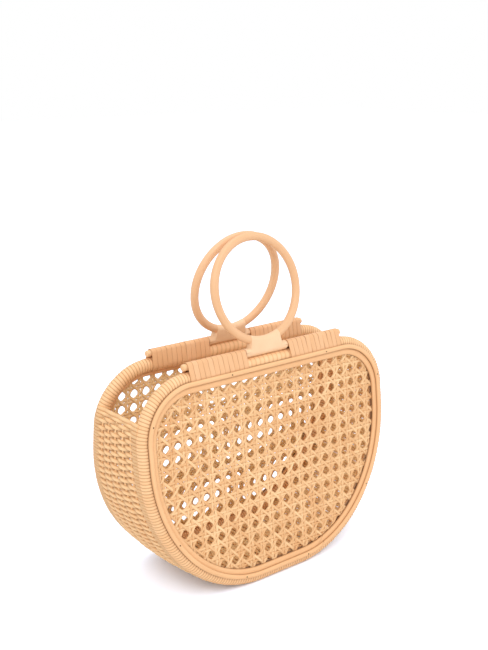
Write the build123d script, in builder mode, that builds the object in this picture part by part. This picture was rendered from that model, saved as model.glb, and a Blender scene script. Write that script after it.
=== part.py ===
"""Rattan basket bag: two cane panels in bound pole frames, a woven gusset and two ring handles."""

import os
from math import asin, cos, degrees, radians, sin, sqrt, tan

from build123d import *

os.makedirs("parts", exist_ok=True)

# Panel outline, along the centre line of its bent pole, in millimetres and degrees
panel_width = 263.0
panel_height = 186.6
top_corner_radius = 46.0
side_run = 16.6
base_run = 46.8

# Stance of the two panels, which lean towards the middle of the bag
base_spread = 94.0
panel_lean = 6.2

# Bent pole and the reed bound round it, as a rod with eight flats
pole_radius = 5.9
binding_groove = 0.7
rod_sides = 8

# Steps along each stretch of the half outline: base, low corner, side, top corner, top
stretch_steps = (2, 10, 2, 6, 4)

# Gap between pieces that lie on each other
seat_clearance = 0.15

# Cane webbing in the frame, with one row of gaps for every pitch
webbing_rise = 2.6
webbing_thickness = 1.4
hole_pitch = 19.4
hole_radius = 7.0
hole_sides = 4
hole_border = 0.5

# Reeds round the webbing: one over the pole's front, one on the webbing's edge and one behind it
outer_reed_inset = 0.8
outer_reed_width = 4.2
outer_reed_thickness = 1.9
inner_reed_width = 5.4
inside_reed_width = 4.0
inside_reed_thickness = 2.2

# Straight bar on the top of each frame, and the cane strips that bind it there
bar_radius = 2.9
bar_overhang = 3.4
strip_wall = 0.9
strip_groove = 0.5
strip_gap = 1.2
strip_margin = 1.0
strips_each_side = 5

# Ring handle and the tab that hangs it on the bar
ring_radius = 44.6
ring_tube_radius = 3.7
ring_steps_per_half = 18
tab_ring_steps = 2
ring_clearance = 0.1
rings_apart = 0.5
tab_wall = 0.9
tab_bar_width = 46.0
tab_side_clearance = 0.8
bar_running_clearance = 0.3

# Woven gusset between the outer sides of the frames: rows of weavers over and under the stakes
gusset_drop = 29.3
gusset_outset = 3.0
gusset_wall = 2.4
weave_wave = 0.8
rows_per_half = 13
gusset_strips = 5

# Places worked out from the sizes above
half_width = panel_width / 2
top_run = panel_width - 2 * top_corner_radius
side_top = panel_height - top_corner_radius
low_rise = side_top - side_run
low_reach = half_width - base_run / 2

flat_share = cos(radians(180 / rod_sides))
pole_flat = pole_radius * flat_share
pole_foot = pole_radius * cos(radians(180 / rod_sides - panel_lean))
tab_gap = tab_bar_width + 2 * tab_side_clearance
strip_end = top_run / 2 - strip_margin
strip_run = strip_end - tab_gap / 2
strip_pitch = strip_run / strips_each_side
bar_length = 2 * (strip_end + bar_overhang)
top_drop = (seat_clearance + strip_wall) * sqrt(2)

tab_radius = bar_radius + bar_running_clearance + tab_wall
bar_rise = pole_radius + bar_running_clearance + tab_radius
bar_height = panel_height + bar_rise
ring_rise = tab_radius + ring_clearance + ring_tube_radius
ring_centre_height = ring_rise + ring_radius
bar_half_spread = base_spread / 2 - bar_height * sin(radians(panel_lean))
ring_lean = degrees(
    asin((bar_half_spread - ring_tube_radius - rings_apart / 2) / (ring_centre_height + ring_radius))
)
ring_step = 180 / ring_steps_per_half
tab_ring_width = 2 * ring_radius * sin(radians(tab_ring_steps * ring_step))


def seat_inset(rise):
    """Distance inwards from the pole's centre line at which a piece at this height rests on the pole."""
    return min(pole_flat, pole_flat * sqrt(2) - rise) + seat_clearance


webbing_top = webbing_rise + webbing_thickness
webbing_inset = seat_inset(webbing_rise)
outer_reed_rise = pole_flat + strip_wall + 2 * seat_clearance
inner_reed_inset = seat_inset(webbing_top)
inner_reed_thickness = outer_reed_rise - seat_clearance - webbing_top
inside_reed_rise = webbing_rise - inside_reed_thickness
inside_reed_inset = seat_inset(inside_reed_rise)
hole_inset = inner_reed_inset + inner_reed_width + hole_border + hole_radius


def leaning_plane(origin, lean, facing):
    """Plane that faces out of the bag, at the front for -1 and the back for 1, its top leaning in."""
    outwards = (0, facing * cos(radians(lean)), sin(radians(lean)))
    return Plane(origin=origin, x_dir=(-facing, 0, 0), z_dir=outwards)


def across_plane(plane, x, y):
    """Plane square to the bag's width, at a place given in another plane, with its Y axis up."""
    return Plane(origin=plane.from_local_coords((x, y, 0)), x_dir=-plane.z_dir, z_dir=plane.x_dir)


def half_outline(inset, drop=0):
    """Stretches of the outline's right half, base to top, moved inwards, with the top lowered by drop."""
    with BuildLine():
        base = Line((0, inset), (base_run / 2, inset))
        low_corner = EllipticalCenterArc(
            (base_run / 2, low_rise), low_reach - inset, low_rise - inset, start_angle=-90, arc_size=90
        )
        side = Line(low_corner @ 1, (half_width - inset, side_top - drop))
        top_corner = JernArc(side @ 1, side % 1, top_corner_radius - inset, 90)
        top = Line(top_corner @ 1, (0, panel_height - inset - drop))
    return base, low_corner, side, top_corner, top


def outline_places(inset, drop=0):
    """Points along the outline's right half with its direction there, the same steps at every inset."""
    stretches = half_outline(inset, drop)
    places = [
        (stretch @ (step / steps), stretch % (step / steps))
        for stretch, steps in zip(stretches, stretch_steps)
        for step in range(steps)
    ]
    return places + [(stretches[-1] @ 1, stretches[-1] % 1)]


def outline_face(inset, drop=0):
    """The whole panel as a face, as large as its outline at this inset."""
    with BuildSketch() as whole:
        with BuildLine():
            Polyline(*[point for point, _ in outline_places(inset, drop)])
            mirror(about=Plane.YZ)
        make_face()
    return whole.sketch


def bound_frame(panel):
    """Bent pole with its binding: one lofted half, with a groove between turns, and its mirror image."""
    with BuildPart() as half:
        for step, (point, along) in enumerate(outline_places(0)):
            groove = binding_groove * (1 - step % 2)
            origin = panel.from_local_coords(point)
            forward = panel.x_dir * along.X + panel.y_dir * along.Y
            with BuildSketch(Plane(origin=origin, x_dir=panel.z_dir, z_dir=forward)):
                RegularPolygon(pole_radius - groove, rod_sides, rotation=180 / rod_sides)
        loft(ruled=True)
    with BuildPart() as frame:
        add(half.part)
        mirror(half.part, about=Plane.YZ)
    return frame.part


def cane_panel(panel):
    """Sheet of cane webbing with a gap at each pitch that lies clear of the reeds."""
    room = outline_face(hole_inset, top_drop).face()
    columns = int(half_width / hole_pitch)
    rows = int(panel_height / hole_pitch)
    places = [
        ((column + 1 / 2) * hole_pitch, panel_height / 2 + (row + 1 / 2) * hole_pitch)
        for column in range(-columns, columns)
        for row in range(-rows, rows)
    ]
    with BuildPart() as sheet:
        with BuildSketch(panel.offset(webbing_rise)):
            add(outline_face(webbing_inset, top_drop))
            with Locations(*[place for place in places if room.is_inside((*place, 0))]):
                RegularPolygon(hole_radius, hole_sides, rotation=180 / hole_sides, mode=Mode.SUBTRACT)
        extrude(amount=webbing_thickness)
    return sheet.part


def reed(panel, rise, inset, width, thickness, drop):
    """Closed loop of reed that lies flat round the panel."""
    with BuildPart() as loop:
        with BuildSketch(panel.offset(rise)):
            add(outline_face(inset, drop))
            add(outline_face(inset + width, drop), mode=Mode.SUBTRACT)
        extrude(amount=thickness)
    return loop.part


def top_bar(panel):
    """Straight round bar along the top of the frame."""
    with BuildPart() as bar:
        with BuildSketch(across_plane(panel, -bar_length / 2, bar_height)):
            Circle(bar_radius)
        extrude(amount=bar_length)
    return bar.part


def strip_section(reach):
    """Outline of a strip drawn tight round the pole and the bar above it, reach away from both."""
    points = []
    for corner in range(rod_sides):
        angle = radians((corner + 1 / 2) * 360 / rod_sides)
        if sin(angle) > 0:
            radius = (bar_radius + reach) / flat_share
            points.append((radius * cos(angle), bar_rise + radius * sin(angle)))
        else:
            radius = (pole_flat + reach) / flat_share
            points.append((radius * cos(angle), radius * sin(angle)))
    shoulder = pole_flat + reach
    shoulder_height = shoulder * tan(radians(180 / rod_sides))
    points.insert(rod_sides // 2, (-shoulder, shoulder_height))
    points.append((shoulder, shoulder_height))
    return points


def bar_binding(panel, side):
    """Cane strips wound side by side round the pole and the bar, on one side of the tab."""
    first = tab_gap / 2 if side > 0 else -strip_end
    with BuildPart() as binding:
        with BuildSketch(across_plane(panel, first, panel_height)):
            Polygon(*strip_section(seat_clearance + strip_wall - strip_groove), align=None)
        extrude(amount=strip_run)
        for strip in range(strips_each_side):
            strip_edge = first + strip * strip_pitch + strip_gap / 2
            with BuildSketch(across_plane(panel, strip_edge, panel_height)):
                Polygon(*strip_section(seat_clearance + strip_wall), align=None)
            extrude(amount=strip_pitch - strip_gap)
        with BuildSketch(across_plane(panel, first, panel_height)):
            Polygon(*strip_section(seat_clearance), align=None)
        extrude(amount=strip_run, mode=Mode.SUBTRACT)
    return binding.part


def ring_sections(handle, radius, first, last):
    """Faces across a rod this thick along the ring, at each step round it from the ring's lowest point."""
    sections = []
    for step in range(first, last + 1):
        angle = radians(step * ring_step)
        centre = (ring_radius * sin(angle), ring_centre_height - ring_radius * cos(angle), 0)
        along = handle.x_dir * cos(angle) + handle.y_dir * sin(angle)
        across = Plane(origin=handle.from_local_coords(centre), x_dir=handle.z_dir, z_dir=along)
        with BuildSketch(across) as section:
            RegularPolygon(radius, rod_sides, rotation=180 / rod_sides)
        sections.append(section.sketch.face())
    return sections


def ring_handle(handle):
    """Round ring handle, bent from one rod."""
    with BuildPart() as half:
        loft(ring_sections(handle, ring_tube_radius, 0, ring_steps_per_half), ruled=True)
    with BuildPart() as ring:
        add(half.part)
        mirror(half.part, about=Plane.YZ)
    return ring.part


def ring_tab(handle):
    """Tab folded round the bar and the ring's lowest stretch, with room to turn on the bar."""
    bar_end = across_plane(handle, -tab_bar_width / 2, 0)
    channel_radius = ring_tube_radius + ring_clearance
    with BuildPart() as tab:
        with BuildSketch(bar_end):
            RegularPolygon(tab_radius, 2 * rod_sides)
        extrude(amount=tab_bar_width)
        with BuildSketch(handle):
            with BuildLine():
                Polyline(
                    (-tab_bar_width / 2, 0),
                    (tab_bar_width / 2, 0),
                    (tab_ring_width / 2, ring_rise),
                    (-tab_ring_width / 2, ring_rise),
                    close=True,
                )
            make_face()
        extrude(amount=ring_tube_radius, both=True)
        loft(ring_sections(handle, channel_radius + tab_wall, -tab_ring_steps, tab_ring_steps), ruled=True)
        with BuildSketch(bar_end):
            Circle(bar_radius + bar_running_clearance)
        extrude(amount=tab_bar_width, mode=Mode.SUBTRACT)
        channel = ring_sections(handle, channel_radius, -tab_ring_steps - 1, tab_ring_steps + 1)
        loft(channel, ruled=True, mode=Mode.SUBTRACT)
    return tab.part


def gusset_path():
    """Right half of the gusset's middle line, seen along the bag's depth, from the base to its top edge."""
    base, low_corner, side, *_ = half_outline(-gusset_outset)
    end_radius = top_corner_radius + gusset_outset
    end_turn = degrees(asin((top_corner_radius - gusset_drop) / end_radius))
    with BuildLine() as half:
        add([base, low_corner, side])
        JernArc(side @ 1, side % 1, end_radius, end_turn)
    return half.line


def gusset_wall_points(phase):
    """Closed outline of the wavy wall: each weaver row stands out or in by turns."""
    path = gusset_path()
    outer, inner = [], []
    for row in range(-rows_per_half, rows_per_half + 1):
        place = abs(row) / rows_per_half
        middle, along = path @ place, path % place
        wave = weave_wave * (-1) ** (row + phase)
        side = 1 if row >= 0 else -1
        for points, offset in ((outer, wave + gusset_wall / 2), (inner, wave - gusset_wall / 2)):
            x = side * (middle.X + offset * along.Y)
            y = middle.Y - offset * along.X
            points.append((x, pole_foot + y * cos(radians(panel_lean))))
    return outer + inner[::-1]


def gusset_edge(height, share):
    """Place across the bag's depth, as a share of the room between the frames at this height."""
    to_pole = base_spread / 2 - (height - pole_foot) * tan(radians(panel_lean))
    return share * (to_pole - (pole_flat + seat_clearance) / cos(radians(panel_lean)))


def weave_strips(phase):
    """Every other strip of the weave, between one stake and the next."""
    with BuildPart() as strips:
        with BuildSketch(Plane.XZ):
            Polygon(*gusset_wall_points(phase), align=None)
        extrude(amount=base_spread / 2, both=True)
        with BuildSketch(Plane.YZ):
            for strip in range(phase, gusset_strips, 2):
                low_share = 2 * strip / gusset_strips - 1
                high_share = low_share + 2 / gusset_strips
                Polygon(
                    (gusset_edge(0, low_share), 0),
                    (gusset_edge(0, high_share), 0),
                    (gusset_edge(panel_height, high_share), panel_height),
                    (gusset_edge(panel_height, low_share), panel_height),
                    align=None,
                )
        extrude(amount=panel_width, both=True, mode=Mode.INTERSECT)
    return strips.part


def keep(part, name):
    """Write one piece under its own name."""
    part.label = name
    export_step(part, f"parts/{name}.step")


# Front and back panels with their handles
for name, facing in (("front", -1), ("back", 1)):
    panel = leaning_plane((0, facing * base_spread / 2, pole_foot), panel_lean, facing)
    handle = leaning_plane(panel.from_local_coords((0, bar_height, 0)), ring_lean, facing)
    keep(bound_frame(panel), f"{name}_bound_frame")
    keep(cane_panel(panel), f"{name}_cane_panel")
    reeds = {
        "outer_reed": (outer_reed_rise, outer_reed_inset, outer_reed_width, outer_reed_thickness, 0),
        "inner_reed": (webbing_top, inner_reed_inset, inner_reed_width, inner_reed_thickness, top_drop),
        "inside_reed": (inside_reed_rise, inside_reed_inset, inside_reed_width, inside_reed_thickness, top_drop),
    }
    for loop_name, sizes in reeds.items():
        keep(reed(panel, *sizes), f"{name}_{loop_name}")
    keep(top_bar(panel), f"{name}_top_bar")
    keep(bar_binding(panel, -1), f"{name}_bar_binding_left")
    keep(bar_binding(panel, 1), f"{name}_bar_binding_right")
    keep(ring_handle(handle), f"{name}_ring_handle")
    keep(ring_tab(handle), f"{name}_ring_tab")

# Woven gusset, its strips side by side with the rows of one between those of the next
with BuildPart() as gusset:
    add(weave_strips(0))
    add(weave_strips(1))
keep(gusset.part, "gusset_weave")
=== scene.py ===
"""Studio scene of the rattan basket bag: fine cane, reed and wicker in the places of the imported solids."""

from math import asin, cos, degrees, radians, sin, sqrt

import bpy
import numpy as np
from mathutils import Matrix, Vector


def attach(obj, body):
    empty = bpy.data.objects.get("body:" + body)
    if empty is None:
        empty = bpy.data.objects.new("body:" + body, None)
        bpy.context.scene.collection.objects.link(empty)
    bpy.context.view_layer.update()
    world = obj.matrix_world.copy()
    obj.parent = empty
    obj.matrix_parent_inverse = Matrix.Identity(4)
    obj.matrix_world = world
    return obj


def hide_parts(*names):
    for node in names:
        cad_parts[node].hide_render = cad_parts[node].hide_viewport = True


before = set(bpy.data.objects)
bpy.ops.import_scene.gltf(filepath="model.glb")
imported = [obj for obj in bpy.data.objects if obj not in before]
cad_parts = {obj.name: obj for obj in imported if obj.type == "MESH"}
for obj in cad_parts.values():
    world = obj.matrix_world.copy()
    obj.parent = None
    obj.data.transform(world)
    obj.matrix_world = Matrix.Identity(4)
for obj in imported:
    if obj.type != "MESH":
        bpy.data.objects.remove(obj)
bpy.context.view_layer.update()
random = np.random.default_rng(11)

# All sizes below are in millimetres and degrees, and meshes are made in metres
MM = 0.001

# Panel outline and stance, as in the solids
panel_width = 263.0
panel_height = 186.6
top_corner_radius = 46.0
side_run = 16.6
base_run = 46.8
base_spread = 94.0
panel_lean = 6.2
pole_radius = 5.9
pole_sides = 8
flat_angle = 180 / pole_sides
pole_flat = pole_radius * cos(radians(flat_angle))
pole_foot = pole_radius * cos(radians(flat_angle - panel_lean))
half_width = panel_width / 2
side_top = panel_height - top_corner_radius
low_rise = side_top - side_run
low_reach = half_width - base_run / 2
top_drop = 1.5
arc_points = 90
direction_span = 0.8

# Binding of the pole: fine turns, and wide ones between the two bar bindings
turn_pitch = 2.7
wide_turn_pitch = 5.0
turn_depth = 0.45
wide_turn_depth = 0.16
# Painted shade in the grooves between turns, for fine and for wide turns
turn_shade = 0.9
wide_turn_shade = 0.5
turn_spread = 0.07
turn_swell_limits = (-0.15, 0.05)
turn_place_shares = np.array((0.0, 0.12, 0.32, 0.5, 0.68, 0.88))
turn_crest_shares = np.array((0.0, 0.72, 0.97, 1.0, 0.97, 0.72))
bound_pole_sides = 16

# Cane webbing: pitch of the holes, place of one hole, pairs of strands and diagonals
hole_pitch_across = 12.32
hole_pitch_up = 12.7
hole_place = (-14.11, 110.47)
lattice_reach = 16
pair_offset = 1.48
strand_width = 2.45
strand_width_spread = 0.03
strand_thickness = 0.75
strand_edge_share = 0.1
strand_stray = 0.12
strand_end_margin = 1.0
# Per profile point: painted shade at the strand's sides, and the paler pith underneath, partly painted light
strand_shades = np.array((-1.0, 0.4, 0.0, 0.0, 0.4, -1.0))
diagonal_width = 2.4
diagonal_reach = 34
diagonal_steps_per_hole = 8
shortest_diagonal_share = 0.4
webbing_middle = 3.3
webbing_edge = 5.6
pair_wave = 0.36
diagonal_wave = 0.55

# Half-round reeds, with insets from the outline and rises from the pole's middle
reeds = {
    "outer_reed": {"inset": 0.8, "width": 4.2, "rise": 6.1, "thickness": 2.45, "drop": 0.0},
    "inner_reed": {"inset": 3.1, "width": 6.2, "rise": 4.0, "thickness": 2.5, "drop": top_drop},
    "inside_reed": {"inset": 5.6, "width": 4.0, "rise": 2.6, "thickness": -2.2, "drop": top_drop},
}
reed_points = 9
reed_steps = 420
reed_roundness = 0.55
# Share of a reed's height over which painted shade darkens it towards its base edges
reed_shade_share = 0.7
scarf_slope = 2.6
scarf_gap = 0.25

# Brads in the outer reed
brad_spacing = 96.0
brad_start = brad_spacing / 3
brad_stray = 6.0
brad_radius = 0.65
brad_sides = 10
brad_radius_shares = np.array((0.9, 1.0, 0.6))
brad_heights = np.array((-0.5, 0.05, 0.25))

# Top bar and its binding strips
bar_radius = 2.9
bar_rise = 10.3
bar_height = panel_height + bar_rise
bar_half_length = 87.9
bar_sides = 20
bar_steps = 40
bar_end = 3.0
bar_end_insets = np.array((0.0, 0.0, 0.3, 0.9))
bar_end_shares = np.array((0.5, 0.82, 0.93, 1.0))
bar_wave = 0.06
bar_wave_run = 9.0
binding_start = 23.8
binding_end = 84.5
strips_each_side = 12
strip_thickness = 0.9
strip_clearance = 0.1
strip_low_thinning = 4
strip_high_thinning = 5
strip_narrowest_share = 0.98
strip_tilt = 0.15
strip_swell = 0.06
# Painted shade along each strip's edges, in the fine line between strips
strip_shade = 0.6
strip_face_share = 0.43
strip_edge_share = 0.07
strip_section_shares = np.array((
    (-0.2, -0.1), (0.2, -0.1), (0.5, 0.6), (0.485, 0.88), (0.43, 0.98),
    (0.2, 1.0), (-0.2, 1.0), (-0.43, 0.98), (-0.485, 0.88), (-0.5, 0.6),
))

# Ring handle and its tab
ring_radius = 44.6
ring_tube_radius = 3.7
ring_rise = 7.9
ring_centre = ring_rise + ring_radius
ring_steps = 180
ring_sides = 20
ring_slow_waves = 3
ring_slow_wave_share = 0.015
ring_quick_waves = 7
ring_quick_wave_share = 0.01
rings_apart = 0.5
tab_radius = 3.95
tab_ring_radius = 4.05
tab_half_width = 23.0
tab_ring_half_width = 15.25
tab_shoulder = 2.2
tab_shoulder_steps = 8
tab_ring_steps = 14
tab_arc_points = 18
tab_end_insets = np.array((0.0, 0.12, 0.5, 1.2, 2.4))
tab_end_share = 0.88
tab_end_run = 0.5
tab_least_height = 0.6
bar_half_spread = base_spread / 2 - bar_height * sin(radians(panel_lean))
ring_lean = degrees(
    asin((bar_half_spread - ring_tube_radius - rings_apart / 2) / (ring_centre + ring_radius))
)

# Woven gusset: top edge, swell, stakes and weavers
gusset_height = 157.3
gusset_outset = 3.1
gusset_swell = 3.0
swell_base_run = 20.0
swell_top_run = 90.0
pole_outset = 4.5
stake_count = 5
stake_radius = 1.1
stake_steps = 170
weaver_radius = 1.5
weaver_radius_spread = 0.04
weaver_flattening = 0.1
weaver_sway = 0.12
weaver_slant = 0.1
weaver_wave = 1.1
weaver_sides = 8
weaver_points = 41
weaver_wave_start = 4.5
weaver_wave_run = 6.0
# Painted shade where a weaver sinks under its neighbours; its inward side takes the paler pith colour, partly
# painted light
weaver_shade_power = 1.7
weaver_pith_limit = -0.3
rim_rows = 4
rim_wave_share = 0.2
rim_lift = 0.1
rim_radius_share = 1.1


class Path:
    """Closed line in a plane, read by the distance along it."""

    def __init__(self, points):
        self.points = np.vstack([points, points[:1]])
        steps = np.linalg.norm(np.diff(self.points, axis=0), axis=1)
        self.reach = np.concatenate([[0.0], np.cumsum(steps)])
        self.length = self.reach[-1]

    def at(self, place):
        """Points at these distances."""
        place = np.mod(place, self.length)
        return np.stack([np.interp(place, self.reach, self.points[:, axis]) for axis in (0, 1)], -1)

    def along(self, place):
        """Unit directions at these distances."""
        ahead = self.at(place + direction_span) - self.at(place - direction_span)
        return ahead / np.linalg.norm(ahead, axis=-1, keepdims=True)


def arc(centre, radius, start, end):
    """Points on a circle, or on an ellipse with two radii, between two angles."""
    angles = np.radians(np.linspace(start, end, arc_points))
    return np.array(centre) + np.column_stack([np.cos(angles), np.sin(angles)]) * radius


def round_angles(count):
    """Angles of a full circle in equal steps, in radians."""
    return np.linspace(0, 2 * np.pi, count, endpoint=False)


def smooth_step(share):
    """Share from 0 to 1 that starts and ends gently."""
    return share**2 * (3 - 2 * share)


def half_outline(inset, drop):
    """Right half of the panel's outline, base to top, moved inwards, with the top lowered by drop."""
    return np.vstack([
        [[0, inset]],
        arc((base_run / 2, low_rise), (low_reach - inset, low_rise - inset), -90, 0),
        arc((half_width - top_corner_radius, side_top - drop), top_corner_radius - inset, 0, 90),
        [[0, panel_height - inset - drop]],
    ])


def outline(inset, drop=0.0):
    """Whole outline, anticlockwise from the middle of the base."""
    right = half_outline(inset, drop)
    left = right[-2:0:-1] * (-1, 1)
    return Path(np.vstack([right, left]))


class Place:
    """Leaning frame of a panel or handle: x along the bag, y up, n out of the bag."""

    def __init__(self, origin, lean, facing):
        self.origin = np.array(origin, float)
        self.x = np.array((-facing, 0.0, 0.0))
        self.n = np.array((0.0, facing * cos(radians(lean)), sin(radians(lean))))
        self.y = np.cross(self.n, self.x)

    def world(self, x, y, n):
        """Points of the bag, in millimetres, from places in this frame."""
        x, y, n = np.broadcast_arrays(x, y, n)
        return self.origin + x[..., None] * self.x + y[..., None] * self.y + n[..., None] * self.n


class Strands:
    """Swept strands gathered into one mesh, with coordinates along and around each for its material.

    Depth is above 0 in grooves and recesses, which it darkens with painted shade, and below 0 on the pith
    side, which is paler, partly as painted light.
    """

    def __init__(self):
        self.points = []
        self.quads = []
        self.caps = []
        self.strand = []
        self.depth = []
        self.count = 0

    def add(self, rings, closed=False, depth=0.0, twist=0):
        """One strand from rings of points; a closed one joins its end to its start."""
        rows, sides = rings.shape[:2]
        tone = random.random()
        middle = rings.mean(axis=1)
        steps = np.linalg.norm(np.diff(middle, axis=0), axis=1)
        along = np.concatenate([[0.0], np.cumsum(steps)])[:, None]
        around = np.linspace(0, 1, sides, endpoint=False)[None, :]
        coordinates = np.stack(np.broadcast_arrays(along, around, tone), -1)
        self.points.append(rings.reshape(-1, 3))
        self.strand.append(coordinates.reshape(-1, 3))
        self.depth.append(np.broadcast_to(depth, (rows, sides)).reshape(-1))
        row = np.arange(rows if closed else rows - 1)[:, None]
        side = np.arange(sides)[None, :]
        turned = np.where(side == sides - 1, twist, 0)
        following = (side + 1) % sides
        corners = [
            row * sides + side,
            ((row + turned) % rows) * sides + following,
            ((row + 1 + turned) % rows) * sides + following,
            ((row + 1) % rows) * sides + side,
        ]
        self.quads.append(self.count + np.stack(corners, -1).reshape(-1, 4))
        if not closed:
            self.caps.append(list(range(self.count + sides - 1, self.count - 1, -1)))
            last = self.count + (rows - 1) * sides
            self.caps.append(list(range(last, last + sides)))
        self.count += rows * sides

    def piece(self, name, material, body, slot, *nodes):
        """The gathered strands as one piece that rides on a body and stands for CAD nodes."""
        quads = np.vstack(self.quads)
        mesh = bpy.data.meshes.new(name)
        mesh.from_pydata((np.vstack(self.points) * MM).tolist(), [], quads.tolist() + self.caps)
        smooth = np.zeros(len(mesh.polygons), bool)
        smooth[: len(quads)] = True
        mesh.polygons.foreach_set("use_smooth", smooth)
        strand = mesh.attributes.new("strand", "FLOAT_VECTOR", "POINT")
        strand.data.foreach_set("vector", np.vstack(self.strand).ravel())
        depth = mesh.attributes.new("depth", "FLOAT", "POINT")
        depth.data.foreach_set("value", np.concatenate(self.depth))
        mesh.materials.append(material)
        mesh.update()
        made = bpy.data.objects.new(name, mesh)
        bpy.context.scene.collection.objects.link(made)
        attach(made, body)
        if nodes:
            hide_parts(*nodes)
        return made


def tube(middle, radius, sides, up):
    """Rings of a round strand along points in space; up is any direction not along it."""
    along = np.gradient(middle, axis=0)
    along /= np.linalg.norm(along, axis=1, keepdims=True)
    right = np.cross(along, up)
    right /= np.linalg.norm(right, axis=1, keepdims=True)
    over = np.cross(right, along)
    angle = round_angles(sides)[None, :, None]
    reach = np.broadcast_to(radius, len(middle))[:, None, None]
    spread = np.cos(angle) * right[:, None, :] + np.sin(angle) * over[:, None, :]
    return middle[:, None, :] + reach * spread


def turn_edges(path):
    """Distances along the pole at which one turn of its binding meets the next."""
    fine_run = path.length / 2 - binding_start
    fine_turns = round(fine_run / turn_pitch)
    wide_turns = round(2 * binding_start / wide_turn_pitch)
    return np.concatenate([
        np.linspace(0, fine_run, fine_turns, endpoint=False),
        np.linspace(fine_run, path.length - fine_run, wide_turns, endpoint=False),
        np.linspace(path.length - fine_run, path.length, fine_turns + 1),
    ])


def bound_frame(place):
    """Bent pole wound with reed, as one strand whose turns run round it in a long screw."""
    path = outline(0.0)
    edges = turn_edges(path)
    turns = len(edges) - 1
    rows_per_turn = len(turn_place_shares)
    in_turn = np.tile(turn_place_shares, turns)[:, None]
    height = np.tile(turn_crest_shares, turns)[:, None]
    swell = np.clip(random.normal(0, turn_spread, turns), *turn_swell_limits)
    swell = np.repeat(swell, rows_per_turn)[:, None]
    angle = round_angles(bound_pole_sides)[None, :]
    turn = (np.arange(turns)[:, None] + turn_place_shares[None, :]).reshape(-1, 1)
    screw = turn + angle / (2 * np.pi)
    distance = np.interp(np.mod(screw, turns), np.arange(turns + 1), edges)
    wide = np.repeat(np.diff(edges) > (turn_pitch + wide_turn_pitch) / 2, rows_per_turn)[:, None]
    radius = pole_radius - np.where(wide, wide_turn_depth, turn_depth) * (1 - height) + swell * height
    point = path.at(distance)
    along = path.along(distance)
    outwards = radius * np.cos(angle)
    rings = place.world(
        point[..., 0] + outwards * along[..., 1],
        point[..., 1] - outwards * along[..., 0],
        radius * np.sin(angle),
    )
    # Painted shade in the grooves between turns, most where a turn dips
    shade = np.where(wide, wide_turn_shade, turn_shade) * (1 - height)
    strands = Strands()
    strands.add(rings, closed=True, depth=shade, twist=rows_per_turn)
    tones = np.repeat(random.random(turns), rows_per_turn)[:, None]
    coordinates = np.stack(np.broadcast_arrays(angle * pole_radius, in_turn, tones), -1)
    strands.strand[0] = coordinates.reshape(-1, 3)
    return strands


def clip(start, direction, edge):
    """Distances along a line at which it enters and leaves a convex outline."""
    hair = 1e-9
    outside = -1e-6
    corner = edge.points[:-1]
    side = np.diff(edge.points, axis=0)
    inwards = np.column_stack([-side[:, 1], side[:, 0]])
    speed = inwards @ direction
    margin = np.einsum("ij,ij->i", start - corner, inwards)
    with np.errstate(divide="ignore", invalid="ignore"):
        crossing = -margin / speed
    if np.any((np.abs(speed) < hair) & (margin < outside)):
        return 0.0, 0.0
    return crossing[speed > hair].max(), crossing[speed < -hair].min()


def flat_profile(width, thickness):
    """Profile of a flat cane strand with a rounded face."""
    half = width / 2
    face = thickness / 2
    edge = strand_edge_share * thickness
    return np.array([
        (-half, -face), (-half, edge), (-half / 2, face),
        (half / 2, face), (half, edge), (half, -face),
    ])


def flat_strand(strands, place, line, heights, width):
    """One flat strand along points of a panel, at these heights above the middle of the webbing."""
    along = np.gradient(line, axis=0)
    along /= np.linalg.norm(along, axis=1, keepdims=True)
    profile = flat_profile(width * random.normal(1, strand_width_spread), strand_thickness)
    across = np.column_stack([-along[:, 1], along[:, 0]])
    point = line[:, None, :] + profile[None, :, :1] * across[:, None, :]
    height = webbing_middle + heights[:, None] + profile[None, :, 1]
    # Painted shade at the strand's sides and a paler pith underneath, partly painted light
    strands.add(place.world(point[..., 0], point[..., 1], height), depth=strand_shades[None, :])


def paired_strands(strands, place, edge, axis, hole, pitch):
    """Pairs of strands along one axis of the webbing, over and under the pairs that they cross."""
    direction = np.eye(2)[axis]
    steps = np.array((-2, -1, 0, 1, 2)) * pair_offset
    counts = np.arange(-lattice_reach, lattice_reach + 1) + 0.5
    crossings = hole[axis] + counts * pitch[axis]
    all_marks = np.concatenate([(crossings[:, None] + steps).ravel(), crossings + pitch[axis] / 2])
    for lattice in hole[1 - axis] + counts * pitch[1 - axis]:
        for member in (-1, 1):
            start = np.zeros(2)
            start[1 - axis] = lattice + member * pair_offset + random.normal(0, strand_stray)
            low, high = clip(start, direction, edge)
            if high - low < pitch[axis]:
                continue
            within = (all_marks > low + strand_end_margin) & (all_marks < high - strand_end_margin)
            marks = np.concatenate([[low], np.sort(all_marks[within]), [high]])
            nearest = crossings[np.abs(marks[:, None] - crossings).argmin(1)]
            turn = np.clip((marks - nearest) / (2 * pair_offset), -1, 1)
            over = member if axis == 1 else -member
            heights = over * pair_wave * np.sin(np.pi * turn)
            flat_strand(strands, place, start + marks[:, None] * direction, heights, strand_width)


def slanting_strands(strands, place, edge, slant, hole, pitch):
    """Single strands one way aslant, through the crossings of the pairs."""
    direction = np.array((pitch[0], slant * pitch[1]))
    for count in range(-diagonal_reach, diagonal_reach + 1):
        start = hole + np.array(((count + 0.5) * pitch[0], 0.0))
        low, high = clip(start, direction, edge)
        if high - low < shortest_diagonal_share:
            continue
        marks = np.linspace(low, high, max(3, int((high - low) * diagonal_steps_per_hole)))
        heights = slant * diagonal_wave * np.cos(2 * np.pi * marks)
        flat_strand(strands, place, start + marks[:, None] * direction, heights, diagonal_width)


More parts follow.
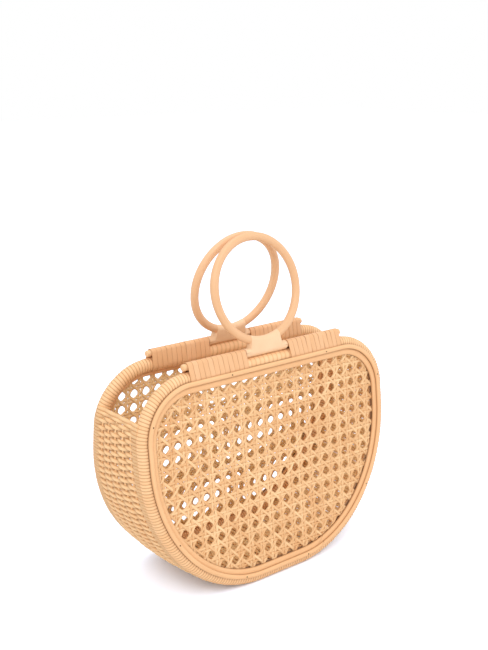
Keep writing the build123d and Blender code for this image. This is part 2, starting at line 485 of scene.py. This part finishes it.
def cane_panel(place):
    """Cane webbing: pairs of strands up and across, woven over and under, and strands both ways aslant."""
    strands = Strands()
    edge = outline(webbing_edge, top_drop)
    hole = np.array(hole_place)
    pitch = np.array((hole_pitch_across, hole_pitch_up))
    for axis in (0, 1):
        paired_strands(strands, place, edge, axis, hole, pitch)
    for slant in (-1, 1):
        slanting_strands(strands, place, edge, slant, hole, pitch)
    return strands


def half_round(width, thickness):
    """Profile of a half-round reed that lies on its flat side, or hangs from it if thickness is below 0."""
    angles = np.radians(np.linspace(0, 180, reed_points))
    profile = np.column_stack([
        width / 2 * (1 + np.cos(angles)),
        thickness * np.sin(angles) ** reed_roundness,
    ])
    return profile[::-1] if thickness > 0 else profile


def reed(place, joint_share, inset, width, rise, thickness, drop):
    """Loop of half-round reed with a slanting joint where its ends meet."""
    path = outline(inset, drop)
    profile = half_round(width, thickness)
    start = joint_share * path.length
    distance = np.linspace(start + scarf_gap / 2, start + path.length - scarf_gap / 2, reed_steps)
    distance = distance[:, None] + scarf_slope * (profile[None, :, 0] - width / 2)
    along = path.along(distance)
    inwards = np.stack([-along[..., 1], along[..., 0]], -1)
    point = path.at(distance) + inwards * profile[None, :, :1]
    # Painted shade towards the reed's base edges, standing in for the shadow lines beside it
    shade = np.clip(1 - np.abs(profile[:, 1]) / abs(thickness) / reed_shade_share, 0, 1)
    strands = Strands()
    rings = place.world(point[..., 0], point[..., 1], rise + profile[None, :, 1])
    strands.add(rings, depth=shade[None, :])
    return strands


def brads(place):
    """Small round nail heads along the outer reed."""
    carrier = reeds["outer_reed"]
    path = outline(carrier["inset"] + carrier["width"] / 2, carrier["drop"])
    angle = round_angles(brad_sides)[None, :]
    radius = brad_radius * brad_radius_shares[:, None]
    height = carrier["rise"] + carrier["thickness"] + brad_heights[:, None]
    strands = Strands()
    for distance in np.arange(brad_start, path.length, brad_spacing):
        x, y = path.at(distance + random.normal(0, brad_stray))
        strands.add(place.world(x + radius * np.cos(angle), y + radius * np.sin(angle), height))
    return strands


def top_bar(place):
    """Straight rod with softened ends."""
    half = bar_half_length
    x = np.concatenate([
        -half + bar_end_insets,
        np.linspace(-half + bar_end, half - bar_end, bar_steps),
        half - bar_end_insets[::-1],
    ])
    radius = bar_radius + bar_wave * np.sin(x / bar_wave_run)
    ends = bar_radius * bar_end_shares
    radius[: len(ends)] = ends
    radius[-len(ends):] = ends[::-1]
    angle = round_angles(bar_sides)[None, :]
    radius = radius[:, None]
    strands = Strands()
    strands.add(place.world(x[:, None], bar_height + radius * np.cos(angle), radius * np.sin(angle)))
    return strands


def binding_loop(reach):
    """Closed line drawn tight round the pole and the bar above it, reach away from both."""
    low_radius = pole_flat + strip_clearance + reach
    high_radius = bar_radius + reach
    tilt = degrees(asin((low_radius - high_radius) / bar_rise))
    low = arc((0, 0), low_radius, 180 - tilt, 360 + tilt)[::strip_low_thinning]
    high = arc((0, bar_rise), high_radius, tilt, 180 - tilt)[::strip_high_thinning]
    return np.vstack([low, high])


def bar_binding(place, side):
    """Flat cane strips side by side round the pole and the bar, flush but for a fine line between them."""
    strands = Strands()
    pitch = (binding_end - binding_start) / strips_each_side
    # Painted shade along each strip's edges, in the fine line between strips
    from_face = np.abs(strip_section_shares[:, 0]) - strip_face_share
    crease = strip_shade * np.clip(from_face / strip_edge_share, 0, 1)
    for strip in range(strips_each_side):
        middle = side * (binding_start + (strip + 0.5) * pitch)
        width = pitch * random.uniform(strip_narrowest_share, 1.0)
        tilt = random.normal(0, strip_tilt)
        swell = random.uniform(-strip_swell, strip_swell)
        rings = []
        for across, lift in strip_section_shares:
            loop = binding_loop(strip_clearance + strip_thickness * lift + swell * (lift > 0))
            lean = tilt * (loop[:, 1] - bar_rise / 2) / bar_rise
            x = middle + across * width + lean
            rings.append(place.world(x, panel_height + loop[:, 1], loop[:, 0]))
        strands.add(np.stack(rings, 1), closed=True, depth=crease[None, :])
    return strands


def ring_handle(handle):
    """Ring bent from one smooth rod, a little uneven as rattan is."""
    angle = round_angles(ring_steps)[:, None]
    around = round_angles(ring_sides)[None, :]
    slow_wave = ring_slow_wave_share * np.sin(ring_slow_waves * angle)
    quick_wave = ring_quick_wave_share * np.sin(ring_quick_waves * angle + 1)
    tube_radius = ring_tube_radius * (1 + slow_wave + quick_wave)
    out = ring_radius + tube_radius * np.cos(around)
    rings = handle.world(
        out * np.sin(angle), ring_centre - out * np.cos(angle), -tube_radius * np.sin(around)
    )
    strands = Strands()
    strands.add(rings, closed=True)
    return strands


def tab_loop(place):
    """Closed line of the tab's surface round the bar and the ring, at a place along the bar."""
    beside = np.clip((abs(place) - tab_ring_half_width) / tab_shoulder, 0, 1)
    share = 1 - smooth_step(beside)
    sag = sqrt(ring_radius**2 - min(abs(place), tab_ring_half_width) ** 2)
    height = share * (ring_centre - sag)
    from_end = (tab_half_width - abs(place)) / tab_end_run
    low_radius = tab_radius * min(1.0, tab_end_share + (1 - tab_end_share) * sqrt(from_end))
    high_radius = low_radius + share * (tab_ring_radius - tab_radius)
    tilt = 0.0
    if height > tab_least_height:
        tilt = degrees(asin((low_radius - high_radius) / height))
    chosen = np.linspace(0, arc_points - 1, tab_arc_points).astype(int)
    low = arc((0, 0), low_radius, 180 - tilt, 360 + tilt)[chosen]
    high = arc((0, height), high_radius, tilt, 180 - tilt)[chosen]
    return np.vstack([low, high])


def ring_tab(handle):
    """Band folded round the bar and the ring: flat in front, hollowed along its top, wider at the bar."""
    half = np.concatenate([
        tab_half_width - tab_end_insets,
        tab_ring_half_width + tab_shoulder * np.linspace(1, 0, tab_shoulder_steps),
        np.linspace(tab_ring_half_width, 0, tab_ring_steps)[1:],
    ])
    rings = []
    for place in np.concatenate([half, -half[-2::-1]])[::-1]:
        loop = tab_loop(place)
        rings.append(handle.world(place, loop[:, 1], loop[:, 0]))
    strands = Strands()
    strands.add(np.stack(rings))
    return strands


def gusset_reach(height):
    """Half of the distance between the two poles' centre lines, at a height up the panel."""
    return base_spread / 2 - height * sin(radians(panel_lean))


def gusset_bulge(height):
    """Outward swell of the weave midway between the poles, none at the base and less at its top edge."""
    from_base = np.clip(height / swell_base_run, 0, 1)
    from_top = np.clip((gusset_height + swell_top_run / 2 - height) / swell_top_run, 0, 1)
    return gusset_swell * from_base * from_top


def gusset_line(point, depth):
    """Points of the bag from places on the panel's outline and depths front to back."""
    return np.column_stack([point[:, 0], depth, pole_foot + point[:, 1] * cos(radians(panel_lean))])


def weaver(strands, path, place, row, from_rim):
    """One round weaver from pole to pole, over and under the stakes, calmer near the top edge."""
    middle = path.at(place)
    along = path.along(place)
    outwards = np.array((along[1], -along[0]))
    share = np.linspace(-1, 1, weaver_points)
    arch = 1 - share**2
    reach = gusset_reach(middle[1])
    inside = np.clip(((1 - np.abs(share)) * reach - weaver_wave_start) / weaver_wave_run, 0, 1)
    outset = pole_outset + (gusset_outset - pole_outset) * smooth_step(inside)
    outset = outset + gusset_bulge(middle[1]) * arch
    phase = (share + 1) * (stake_count + 1) / 2
    lift = (-1) ** row * np.cos(np.pi * phase) * inside
    radius = weaver_radius * random.normal(1.0, weaver_radius_spread) * (1 + weaver_flattening * lift)
    if from_rim < rim_rows:
        lift = rim_wave_share * (1 + from_rim) * lift + rim_lift * (rim_rows - from_rim)
        radius = np.full(weaver_points, weaver_radius * rim_radius_share)
    sway = random.normal(0, weaver_sway) + random.normal(0, weaver_slant) * share
    point = middle + outwards * (outset + weaver_wave * lift)[:, None]
    point = point + along * (sway * arch)[:, None]
    line = gusset_line(point, share * reach)
    rings = tube(line, radius, weaver_sides, np.array((along[0], 0.0, along[1])))
    # Painted shade where the weaver sinks, and a paler inward side, partly painted light for the bag's shaded
    # inside
    facing = (rings - line[:, None, :]) @ np.array((outwards[0], 0.0, outwards[1])) / radius[:, None]
    sunk = np.clip(0.5 - 0.5 * facing * lift[:, None], 0, 1) ** weaver_shade_power
    strands.add(rings, depth=np.where(facing > weaver_pith_limit, sunk, -1.0))


def gusset_weave():
    """Woven wall round the sides and base: one weaver for each turn of the poles' binding, and the stakes."""
    path = outline(0.0)
    edges = turn_edges(path)
    places = (edges[1:] + edges[:-1]) / 2
    places = places[path.at(places)[:, 1] < gusset_height]
    places = np.sort(np.where(places > path.length / 2, places - path.length, places))
    strands = Strands()
    for row, place in enumerate(places):
        weaver(strands, path, place, row, min(row, len(places) - 1 - row))
    runs = np.linspace(places[0], places[-1], stake_steps)
    along = path.along(runs)
    outwards = np.column_stack([along[:, 1], -along[:, 0]])
    for stake in range(stake_count):
        share = 2 * (stake + 1) / (stake_count + 1) - 1
        point = path.at(runs)
        outset = gusset_outset + gusset_bulge(point[:, 1]) * (1 - share**2)
        point = point + outwards * outset[:, None]
        line = gusset_line(point, share * gusset_reach(point[:, 1]))
        strands.add(tube(line, stake_radius, weaver_sides, np.array((0.0, 1.0, 0.0))))
    return strands


def fill(tree, socket, value):
    """Set a socket to a value, or link it to another socket."""
    if isinstance(value, bpy.types.NodeSocket):
        tree.links.new(value, socket)
    else:
        socket.default_value = value


def linked(tree, kind, **inputs):
    """New shader node with these inputs, by name or as _0, _1, _2 by order."""
    node = tree.nodes.new(kind)
    for name, value in inputs.items():
        key = int(name[1:]) if name[0] == "_" else name.replace("_", " ")
        fill(tree, node.inputs[key], value)
    return node


def result(tree, operation, *values):
    """Socket with the result of a math node."""
    node = linked(tree, "ShaderNodeMath", **{f"_{place}": value for place, value in enumerate(values)})
    node.operation = operation
    return node.outputs[0]


def scaled(tree, value, factor):
    """Socket with a value times a factor."""
    return result(tree, "MULTIPLY", value, factor)


def clamped(tree, value):
    """Socket with a value kept between 0 and 1."""
    return linked(tree, "ShaderNodeClamp", Value=value).outputs[0]


def mixed(tree, factor, first, second):
    """Socket with a colour between two others."""
    node = tree.nodes.new("ShaderNodeMix")
    node.data_type = "RGBA"
    for place, value in ((0, factor), (6, first), (7, second)):
        fill(tree, node.inputs[place], value)
    return node.outputs[2]


def noise(tree, vector, **settings):
    """Socket with a noise pattern."""
    return linked(tree, "ShaderNodeTexNoise", Vector=vector, **settings).outputs[0]


def attribute(tree, name):
    """Node that reads one of the attributes that Strands gives its mesh."""
    node = tree.nodes.new("ShaderNodeAttribute")
    node.attribute_name = name
    return node


def linear(red, green, blue):
    """Scene colour from display values of 0 to 255."""
    parts = [value / 255 for value in (red, green, blue)]
    return (*[p / 12.92 if p <= 0.04045 else ((p + 0.055) / 1.055) ** 2.4 for p in parts], 1.0)


def new_material(name):
    """Node material, its tree and its main shader."""
    material = bpy.data.materials.new(name)
    material.use_nodes = True
    tree = material.node_tree
    return material, tree, tree.nodes["Principled BSDF"]


def cane_material(name, light, dark, groove, roughness, fibre, variety=1.0):
    """Rattan: each strand has its own tone and fine fibres; grooves get painted shade, and the pith side is
    paler, partly as painted light.
    """
    material, tree, shader = new_material(name)
    strand = attribute(tree, "strand").outputs["Vector"]
    depth = attribute(tree, "depth").outputs["Fac"]
    along, around, tone = linked(tree, "ShaderNodeSeparateXYZ", Vector=strand).outputs
    stretched = linked(
        tree, "ShaderNodeCombineXYZ",
        X=scaled(tree, along, 0.05), Y=scaled(tree, around, fibre), Z=scaled(tree, tone, 90.0),
    ).outputs[0]
    fibres = noise(tree, stretched, Scale=1.0, Detail=5.0, Roughness=0.65)
    place = linked(tree, "ShaderNodeNewGeometry").outputs["Position"]
    blotch = noise(tree, place, Scale=38.0, Detail=3.0)
    blend = result(tree, "ADD", scaled(tree, fibres, 0.75), scaled(tree, tone, 0.35))
    blend = result(tree, "ADD", blend, scaled(tree, blotch, 0.45))
    blend = result(tree, "SUBTRACT", blend, 0.78)
    blend = result(tree, "ADD", scaled(tree, blend, variety), 0.5)
    skin = mixed(tree, clamped(tree, blend), linear(*light), linear(*dark))
    # Paler pith side: the pith's own colour, partly painted light for the bag's shaded inside
    skin = mixed(tree, clamped(tree, scaled(tree, depth, -0.9)), skin, linear(*pith_and_painted_light_cream))
    # Painted shade: grooves and recesses darkened towards the groove colour
    skin = mixed(tree, clamped(tree, scaled(tree, depth, 0.9)), skin, linear(*groove))
    fill(tree, shader.inputs["Base Color"], skin)
    fill(tree, shader.inputs["Roughness"], result(tree, "ADD", scaled(tree, fibres, 0.22), roughness))
    bump = linked(tree, "ShaderNodeBump", Strength=0.35, Distance=0.0003, Height=fibres)
    fill(tree, shader.inputs["Normal"], bump.outputs[0])
    return material


def leather_material():
    """Smooth pale leather with a fine grain."""
    material, tree, shader = new_material("tab_leather")
    place = linked(tree, "ShaderNodeNewGeometry").outputs["Position"]
    grain = linked(tree, "ShaderNodeTexVoronoi", Vector=place, Scale=1400.0).outputs["Distance"]
    cloud = noise(tree, place, Scale=90.0, Detail=4.0)
    skin = mixed(tree, cloud, linear(*leather_light), linear(*leather_dark))
    fill(tree, shader.inputs["Base Color"], skin)
    fill(tree, shader.inputs["Roughness"], result(tree, "ADD", scaled(tree, cloud, 0.2), 0.42))
    bump = linked(tree, "ShaderNodeBump", Strength=0.25, Distance=0.0002, Height=grain)
    fill(tree, shader.inputs["Normal"], bump.outputs[0])
    return material


def brad_material():
    """Dull brown nail heads."""
    material, tree, shader = new_material("brad")
    place = linked(tree, "ShaderNodeNewGeometry").outputs["Position"]
    cloud = noise(tree, place, Scale=700.0, Detail=3.0)
    skin = mixed(tree, cloud, linear(*brad_light), linear(*brad_dark))
    fill(tree, shader.inputs["Base Color"], skin)
    fill(tree, shader.inputs["Roughness"], result(tree, "ADD", scaled(tree, cloud, 0.3), 0.35))
    shader.inputs["Metallic"].default_value = 0.6
    return material


# Colours, as display values
# Pith side: the pith's own paler colour, partly painted light that lifts the shaded inside of the bag
pith_and_painted_light_cream = (255, 222, 168)
# Painted shade: in grooves, and deeper in the weave's recesses and along the reeds' edges
groove_shade_brown = (176, 118, 66)
deep_shade_brown = (128, 80, 42)
leather_light = (247, 210, 171)
leather_dark = (236, 193, 151)
brad_light = (120, 82, 48)
brad_dark = (86, 58, 36)

# Materials: light and dark tone, painted groove shade, roughness, fibres round a strand, variety of tone
binding_skin = cane_material("bound_pole", (254, 211, 163), (242, 188, 134), groove_shade_brown, 0.42, 5.0)
webbing_skin = cane_material("cane_webbing", (252, 213, 163), (221, 161, 103), groove_shade_brown, 0.4, 9.0, 1.5)
reed_skin = cane_material("smooth_reed", (248, 200, 150), (232, 176, 122), deep_shade_brown, 0.4, 9.0)
rod_skin = cane_material("rattan_rod", (248, 206, 160), (232, 182, 130), groove_shade_brown, 0.45, 12.0)
strip_skin = cane_material("cane_strip", (240, 190, 145), (226, 172, 121), groove_shade_brown, 0.38, 9.0)
ring_skin = cane_material("bent_ring", (240, 195, 153), (226, 174, 126), groove_shade_brown, 0.36, 14.0)
weave_skin = cane_material("wicker_weave", (255, 218, 167), (248, 194, 138), deep_shade_brown, 0.45, 7.0)
tab_skin = leather_material()
brad_skin = brad_material()

# The two panels with their handles; joint_share is how far round the loop the reeds' ends meet
for name, facing, joint_share in (("front", -1, 0.06), ("back", 1, 0.42)):
    panel = Place((0, facing * base_spread / 2, pole_foot), panel_lean, facing)
    handle = Place(panel.world(0.0, bar_height, 0.0), ring_lean, facing)
    swinging = f"{name}_handle"
    bound_frame(panel).piece(f"{name}_pole_binding", binding_skin, "bag", "bound_pole", f"{name}_bound_frame")
    cane_panel(panel).piece(f"{name}_webbing", webbing_skin, "bag", "cane_webbing", f"{name}_cane_panel")
    for loop, sizes in reeds.items():
        shape = reed(panel, joint_share, **sizes)
        shape.piece(f"{name}_{loop}_round", reed_skin, "bag", "smooth_reed", f"{name}_{loop}")
    brads(panel).piece(f"{name}_brads", brad_skin, "bag", None)
    top_bar(panel).piece(f"{name}_bar", rod_skin, "bag", "rattan_rod", f"{name}_top_bar")
    for label, side in (("left", -1), ("right", 1)):
        node = f"{name}_bar_binding_{label}"
        bar_binding(panel, side).piece(f"{node}_strips", strip_skin, "bag", "cane_strip", node)
    ring_handle(handle).piece(f"{name}_ring", ring_skin, swinging, "bent_ring", f"{name}_ring_handle")
    ring_tab(handle).piece(f"{name}_tab", tab_skin, swinging, "tab_leather", f"{name}_ring_tab")
gusset_weave().piece("gusset_wicker", weave_skin, "bag", "wicker_weave", "gusset_weave")

# Studio, in metres and watts: floor, surround, lamps and the point that they face
floor_size = 12.0
floor_drop = 0.0002
floor_seen = (1.26, 1.42, 1.675, 1.0)
floor_unseen = (0.9, 0.9, 0.9, 1.0)
surround_white = (1.0, 1.0, 1.0, 1.0)
surround_light = 0.82
lamp_target = Vector((0.0, 0.0, 0.12))
lamps = {
    "key": {"place": (-1.1, -1.1, 1.6), "size": 1.0, "power": 14.0},
    "overhead": {"place": (0.1, 0.3, 1.8), "size": 0.9, "power": 6.0},
    "fill": {"place": (1.5, -0.9, 0.9), "size": 1.2, "power": 5.0},
}

# Camera at the photograph's place, in millimetres and pixels
camera_place = Vector((-536.01, -652.38, 443.83))
camera_forward = Vector((0.61156, 0.74753, -0.25922))
sensor_size = 36.0
focal_length_pixels = 1000
image_height_pixels = 650


def add_lamp(name, place, size, power):
    """Large square lamp turned towards the bag."""
    light = bpy.data.lights.new(name, "AREA")
    light.size = size
    light.energy = power
    lamp = bpy.data.objects.new(name, light)
    lamp.location = place
    lamp.rotation_euler = (lamp_target - Vector(place)).to_track_quat("-Z", "Y").to_euler()
    bpy.context.scene.collection.objects.link(lamp)


def floor_material():
    """Pale floor that the camera sees as white where no shadow falls."""
    material, tree, _ = new_material("studio_floor")
    tree.nodes.clear()
    path = tree.nodes.new("ShaderNodeLightPath")
    seen = linked(tree, "ShaderNodeBsdfDiffuse", Color=floor_seen)
    unseen = linked(tree, "ShaderNodeBsdfDiffuse", Color=floor_unseen)
    mix = linked(
        tree, "ShaderNodeMixShader",
        _0=path.outputs["Is Camera Ray"], _1=unseen.outputs[0], _2=seen.outputs[0],
    )
    linked(tree, "ShaderNodeOutputMaterial", Surface=mix.outputs[0])
    return material


def add_floor():
    """Plain square floor under the bag."""
    edge = floor_size / 2
    corners = [(-edge, -edge, 0), (edge, -edge, 0), (edge, edge, 0), (-edge, edge, 0)]
    mesh = bpy.data.meshes.new("studio_floor")
    mesh.from_pydata(corners, [], [(0, 1, 2, 3)])
    mesh.materials.append(floor_material())
    floor = bpy.data.objects.new("studio_floor", mesh)
    floor.location.z = -floor_drop
    bpy.context.scene.collection.objects.link(floor)


def add_surround():
    """White surround that also gives the even part of the light."""
    world = bpy.data.worlds.new("studio")
    world.use_nodes = True
    bpy.context.scene.world = world
    tree = world.node_tree
    ray = tree.nodes.new("ShaderNodeLightPath").outputs["Is Camera Ray"]
    level = linked(tree, "ShaderNodeMapRange", Value=ray, To_Min=surround_light, To_Max=1.0)
    background = tree.nodes["Background"]
    fill(tree, background.inputs["Color"], surround_white)
    fill(tree, background.inputs["Strength"], level.outputs[0])


def add_camera():
    """Camera with the photograph's view."""
    camera = bpy.data.objects.new("camera", bpy.data.cameras.new("camera"))
    camera.data.sensor_width = sensor_size
    camera.data.lens = sensor_size * focal_length_pixels / image_height_pixels
    camera.location = camera_place * MM
    camera.rotation_euler = camera_forward.to_track_quat("-Z", "Y").to_euler()
    bpy.context.scene.collection.objects.link(camera)
    bpy.context.scene.camera = camera


add_floor()
add_surround()
for name, settings in lamps.items():
    add_lamp(name, **settings)
add_camera()
bpy.context.scene.view_settings.view_transform = "Standard"
